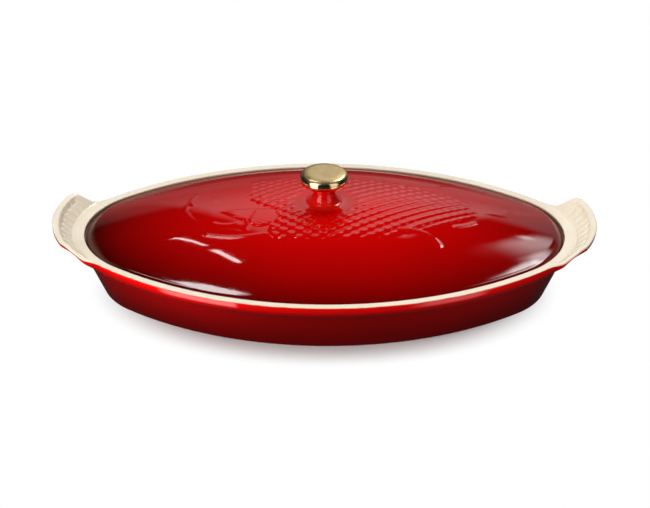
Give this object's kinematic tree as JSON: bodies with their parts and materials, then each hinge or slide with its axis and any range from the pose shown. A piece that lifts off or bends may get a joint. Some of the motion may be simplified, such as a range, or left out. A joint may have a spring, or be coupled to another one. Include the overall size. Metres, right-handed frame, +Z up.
{
  "type": "lidded fish baking dish",
  "caption": "Long lens-shaped stoneware dish for baking a whole fish, with fluted tab handles and a domed lift-off lid carried by a round metal knob",
  "frame": {"origin": "centre of the footprint, on the surface that the dish stands on", "axes": "+X runs along the dish from one handle to the other, +Y across it, +Z up"},
  "size_m": [0.4372, 0.2478, 0.1018],
  "materials": {
    "dish_glaze": "glossy red glaze outside, cream glaze inside and on the rim and handles",
    "lid_glaze": "glossy red glaze outside, cream glaze inside",
    "knob_metal": "polished gold tone with a satin top",
    "fixing_steel": "plain stainless steel",
    "seal_rubber": "matt pale silicone"
  },
  "bodies": {
    "dish": {"baking_dish": "dish_glaze"},
    "lid": {"lid": "lid_glaze", "knob_shell": "knob_metal", "knob_insert": "fixing_steel", "knob_gasket": "seal_rubber", "lid_seal_washer": "seal_rubber", "steel_washer": "fixing_steel", "knob_screw": "fixing_steel"}
  },
  "joints": [
    {"name": "lid_lift", "type": "slide", "parent": "dish", "child": "lid", "axis": [0, 0, 1], "range_m": [0, 0.08]}
  ]
}
